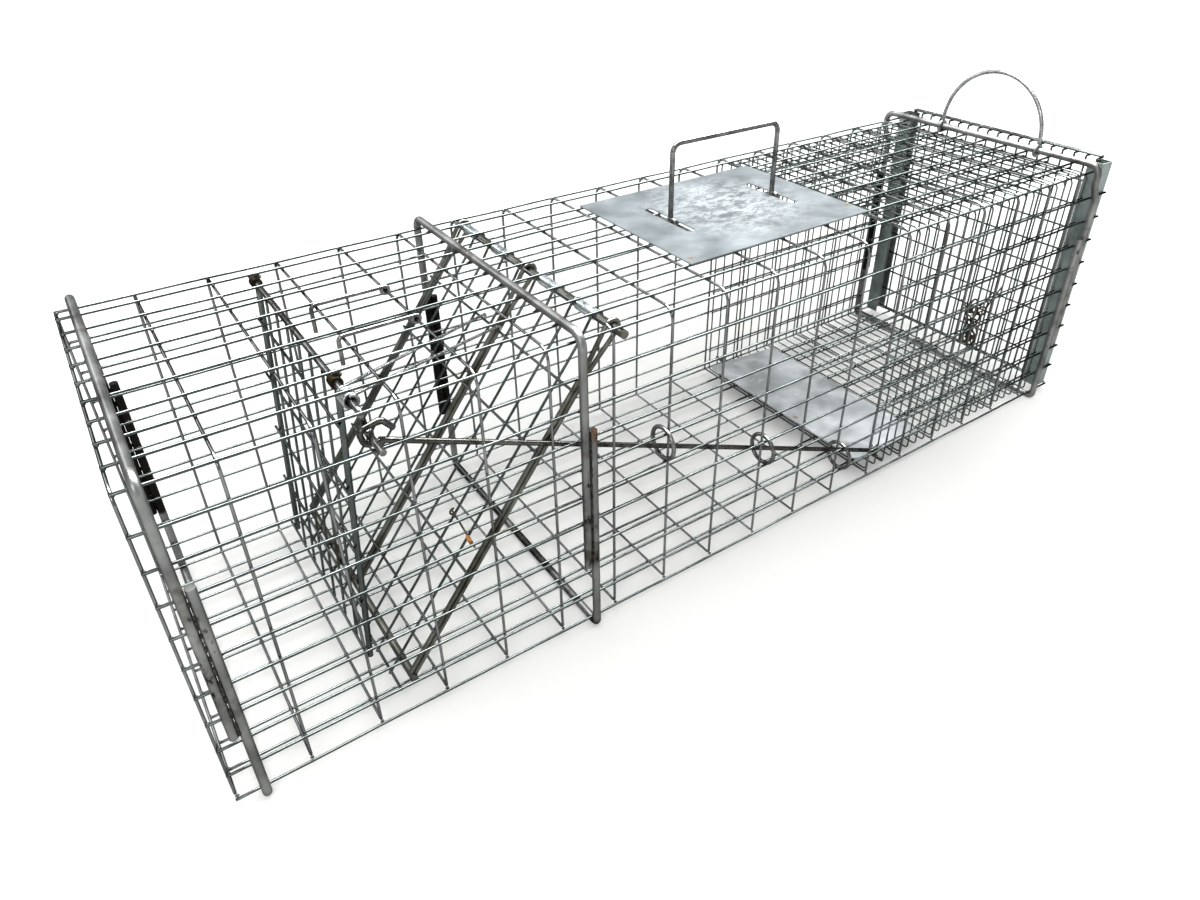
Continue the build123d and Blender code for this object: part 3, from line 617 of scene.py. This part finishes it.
floor_cross = straights("floor_mesh", 1)
CAGE_LOOP, CAGE_XS = hoops("cage_hoops", straights("left_side_mesh", 2), floor_cross,
                           straights("roof_mesh", 1), WIRE_R, ROOF_BEND, SHEEN_HOOP, ("roof_corner_bends",))
cage_lines = []
for part in ("floor", "roof", "left_side", "right_side"):
    cage_lines += long_wires(part + "_wires", part + "_mesh", WIRE_R, WIRE)
wall_welds("cage_welds", CAGE_LOOP, CAGE_XS + [floor_cross[-1][0][0]], cage_lines, CAGE_WELD)

LINER_LOOP, LINER_XS = hoops("liner_hoops", straights("liner_left", 2), straights("liner_floor", 1),
                             straights("liner_roof", 1), LINER_R, LINER_BEND, LINER, ("liner_corner_bends",))
liner_lines = []
for part in ("liner_floor", "liner_roof", "liner_left", "liner_right"):
    liner_lines += long_wires(part + "_wires", part, LINER_R, LINER)
wall_welds("liner_welds", LINER_LOOP, LINER_XS, liner_lines, LINER_WELD)


# Other wire panels

def panel_welds(name, body, node, size, layer):
    """Nuggets on a panel whose cross wires run along Y: one at each crossing with its long wires."""
    builder = Builder()
    cross = sorted(straights(node, 1), key=lambda s: s[0][2])
    slope = cross[-1][0] - cross[0][0]
    slope[1] = 0
    normal = np.cross(slope / np.linalg.norm(slope), (0, 1, 0))
    others = [s for s in solids(node) if np.ptp(s[:, 1]) < 4 * MM and np.ptp(s[:, 2]) > 50 * MM]
    for start, end, _ in cross:
        for points in others:
            y = (points[:, 1].min() + points[:, 1].max()) / 2
            near = points[abs(points[:, 1] - y) < 3 * MM].mean(0)
            side = math.copysign(1, (near - start) @ normal)
            if start[1] < y < end[1]:
                nugget(builder, np.array((start[0], y, start[2])) + normal * side * layer / 2, normal, size)
    builder.make(name, body, WELDED)


panel_welds("door_welds", "front_door", "door_mesh", CAGE_WELD, LAYER)
panel_welds("flap_welds", "lock_flap", "lock_flap", CAGE_WELD, LAYER)
panel_welds("rear_door_welds", "rear_door", "rear_door_mesh", REAR_DOOR_WELD, REAR_DOOR_LAYER)


def frame_welds():
    """Dark lumps where each outer lengthwise wire meets a frame rod, and beads along the lapped legs."""
    builder = Builder()
    outward = WIRE_R * 0.8
    for place in ("front", "middle", "rear"):
        upper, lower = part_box(place + "_upper_frame"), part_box(place + "_lower_frame")
        rear = place == "rear"
        upper_x = upper[1].x - FRAME_R if rear else (upper[0].x + upper[1].x) / 2
        lower_x = (lower[0].x + lower[1].x) / 2
        for start, end, _ in cage_lines:
            y, z = start[1] - OFFSET_Y, start[2]
            for x, (low, high), top in ((upper_x, upper, True), (lower_x, lower, False)):
                if not start[0] < x < end[0]:
                    continue
                if abs(abs(y) - CAGE_HALF) < MM and low.z < z < high.z:
                    at = (x, start[1] + math.copysign(outward, y), z)
                    blob(builder, at, (4.1 * MM, 1.2 * MM, 1.5 * MM))
                elif top and z > ROOF_LINE - MM and not rear:
                    blob(builder, (x, start[1], z + outward), (4.1 * MM, 1.5 * MM, 1.2 * MM))
                elif not top and z < FLOOR_Z + MM:
                    blob(builder, (x, start[1], z - outward), (4.1 * MM, 1.5 * MM, 1.2 * MM))
        for side in (-1, 1):
            y, z = OFFSET_Y + side * (FRAME_LINE + 1.9 * MM), LAP_LOW + 4 * MM
            while z < LAP_HIGH - 6 * MM:
                if not rear:
                    length = RNG.uniform(1.5, 5) * MM
                    blob(builder, ((upper_x + lower_x) / 2, y, z), (1.1 * MM, 1.1 * MM, length))
                z += RNG.uniform(4, 13) * MM
    builder.make("frame_welds", "cage", WELD)


def on_door(along, out, y):
    """A point on the front door, in inches: along it from the hinge, out of its face, across."""
    return work(12.32 - 0.612 * along - 0.791 * out, y, 9.84 - 0.791 * along + 0.612 * out)


def door_tie():
    """A short tie wire hooked across the front of the door, with a rusted crimp on it."""
    builder = Builder()
    start, end = on_door(7.12, 0.24, -2.6), on_door(7.3, 0.24, -4.3)
    tube(builder, wavy_line(start, end, 0.5 * MM), 0.8 * MM)
    hook = [on_door(7.12 + 0.12 * math.sin(a), 0.19 - 0.12 * math.cos(a), -2.62 - 0.01 * a)
            for a in np.linspace(0, 4.2, 10)]
    tube(builder, hook, 0.8 * MM)
    builder.make("door_tie", "front_door", TIE)
    crimp = Builder()
    tube(crimp, wavy_line(on_door(7.26, 0.24, -3.78), on_door(7.3, 0.24, -4.08), 0.2 * MM), 1.7 * MM)
    crimp.make("door_tie_crimp", "front_door", RUST)


def rear_tie():
    """A tangle of old tie wire wound round the foot of the rear door."""
    builder = Builder()
    for k in range(14):
        y, z = RNG.uniform(-1.35, -0.95), RNG.uniform(0.5, 2.4)
        tilt = RNG.uniform(-0.9, 0.9)
        path = []
        for a in np.linspace(0, RNG.uniform(3, 8), 26):
            reach = 0.3 + 0.1 * math.sin(1.7 * a + k)
            side, rise = reach * 0.8 * math.cos(a), reach * 1.7 * math.sin(a)
            path.append(work(35.42 + 0.07 * math.sin(2.3 * a + k),
                             y + side * math.cos(tilt) - rise * math.sin(tilt) * 0.5,
                             z + side * math.sin(tilt) + rise * math.cos(tilt) * 0.6 + 0.02 * a))
        tube(builder, path, RNG.uniform(1.0, 1.5) * MM, 8)
    for y0, z0, y1, z1 in ((-0.9, 2.1, -0.25, 2.55), (-1.0, 2.0, -1.6, 2.5), (-1.6, 2.5, -2.1, 3.9),
                           (-1.1, 1.2, -1.45, 0.35), (-0.85, 1.6, -0.5, 2.4), (-1.3, 2.6, -1.7, 3.4)):
        tube(builder, wavy_line(work(35.42, y0, z0), work(35.46, y1, z1), 1.2 * MM), 0.9 * MM, 8)
    builder.make("rear_tie", "rear_door", TIE)


def flap_details():
    """Burnt weld lumps at the tops of the flap's side rods and where its wires meet the pin."""
    builder = Builder()
    for row in range(8):
        y = 4.2 - row
        edge = row in (0, 7)
        blob(builder, work(5.2 + (0.13 if edge else 0.0), y, 9.8 + (0.16 if edge else -0.155)),
             [r * MM for r in ((2.0, 2.4, 1.8) if edge else (1.3, 1.3, 1.2))])
    builder.make("flap_burns", "lock_flap", WELD)


CAGE_HALF = CAGE_LOOP[:, 0].max() + LAYER
ROOF_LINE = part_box("roof_mesh")[1][2] - WIRE_R
FRAME_LINE = CAGE_HALF + WIRE_R + FRAME_R
frame_welds()
door_tie()
rear_tie()
flap_details()


def dress(node, material, crease, bevel=0):
    """Gives a CAD node a material and faces smooth up to the crease angle, in degrees; bevel breaks edges."""
    mesh = NODES[node].data
    mesh.materials.clear()
    mesh.materials.append(material)
    mesh.shade_smooth()
    mesh.set_sharp_from_angle(angle=math.radians(crease))
    if bevel:
        worn = NODES[node].modifiers.new("worn_edges", "BEVEL")
        worn.width, worn.segments, worn.limit_method = bevel, 2, "ANGLE"


for name, material in (
        ("front_upper_frame", ROD), ("front_lower_frame", ROD), ("middle_upper_frame", ROD),
        ("middle_lower_frame", LOWER_ROD), ("rear_upper_frame", ROD), ("rear_lower_frame", ROD),
        ("door_hinge_rod", DOOR_ROD), ("hinge_sleeves", SLEEVE), ("flap_pin", BRIGHT), ("trip_rings", BRIGHT),
        ("pan_axle", DARK), ("door_rods", DOOR_ROD), ("door_sill", DOOR_ROD), ("door_mesh", WIRE),
        ("lock_flap", FLAP), ("door_spring", SPRING), ("left_latch_finger", BRIGHT),
        ("right_latch_finger", BRIGHT), ("trip_rod", DARK), ("rear_door_edges", DOOR_ROD),
        ("rear_door_mesh", WIRE), ("rear_bail", BAIL), ("carry_handle", BRIGHT)):
    dress(name, material, WIRE_CREASE)
for name, material in (("handle_plate", PLATE), ("pan", PAN), ("left_rear_channel", CHANNEL),
                       ("right_rear_channel", CHANNEL)):
    dress(name, material, SHEET_CREASE, SHEET_BEVEL)


# Stage, light and camera

def floor():
    """A plain pale floor that glows, more strongly away from the trap: painted light standing in for an
    overlit sweep.
    """
    bpy.ops.mesh.primitive_plane_add(size=30, location=(0, 0, CAD_BOX[0][2]))
    plane = bpy.context.object
    plane.name = "studio_floor"
    material, tree, shader, place = node_tools("studio_white_painted_glow")
    shader.inputs["Base Color"].default_value = (0.6, 0.6, 0.575, 1)
    shader.inputs["Roughness"].default_value = 0.9
    shader.inputs["Specular IOR Level"].default_value = 0.1
    away = tree.nodes.new("ShaderNodeVectorMath")
    away.operation = "LENGTH"
    tree.links.new(place, away.inputs[0])
    shader.inputs["Emission Color"].default_value = (1, 1, 1, 1)
    # The floor's emission is painted light: faint near the trap, full far from it.
    glow = spread(tree, away.outputs["Value"], 0.3, 1.2, 0.2, 1.0)
    tree.links.new(glow, shader.inputs["Emission Strength"])
    plane.data.materials.append(material)


def light(name, at, aim, size, power, seen="all"):
    """An area lamp; with "shine" only reflections show it, and with "fill" only dull surfaces do."""
    lamp = bpy.data.lights.new(name, "AREA")
    lamp.shape = "RECTANGLE"
    lamp.size, lamp.size_y = size
    lamp.energy = power
    holder = bpy.data.objects.new(name, lamp)
    holder.location = at
    holder.rotation_euler = (Vector(aim) - Vector(at)).to_track_quat("-Z", "Y").to_euler()
    holder.visible_diffuse = seen != "shine"
    holder.visible_glossy = seen != "fill"
    bpy.context.scene.collection.objects.link(holder)


def studio():
    """A pale surround, a wide soft lamp for the floor, and a long overhead strip that draws white lines
    on the lengthwise wires. A second strip does the same for the roof's cross wires."""
    world = bpy.data.worlds.new("studio")
    world.use_nodes = True
    background = world.node_tree.nodes["Background"]
    background.inputs["Color"].default_value = (0.96, 0.98, 1, 1)
    background.inputs["Strength"].default_value = 0.6
    scene = bpy.context.scene
    scene.world = world
    scene.view_settings.view_transform = "Standard"
    light("strip", (0.8, 0.1, 1.6), (0.8, 0, 0), (3.0, 0.8), 360, "shine")
    light("cross_strip", (-0.9, 2.0, 1.8), (0, 0, 0.25), (0.5, 2.5), 32, "shine")
    light("overhead", (0.1, 0, 1.8), (0.1, 0, 0), (2.4, 2.4), 46, "fill")
    light("side", (-1.2, -1.0, 1.0), (0, 0, 0.1), (0.5, 0.5), 8)


def camera():
    data = bpy.data.cameras.new("camera")
    data.sensor_width = 36
    data.lens = CAMERA_LENS
    data.shift_x, data.shift_y = CAMERA_SHIFT
    data.clip_start, data.clip_end = 0.01, 60
    holder = bpy.data.objects.new("camera", data)
    holder.location = CAMERA_AT
    holder.rotation_euler = [math.radians(a) for a in CAMERA_TURN]
    bpy.context.scene.collection.objects.link(holder)
    bpy.context.scene.camera = holder


floor()
studio()
camera()
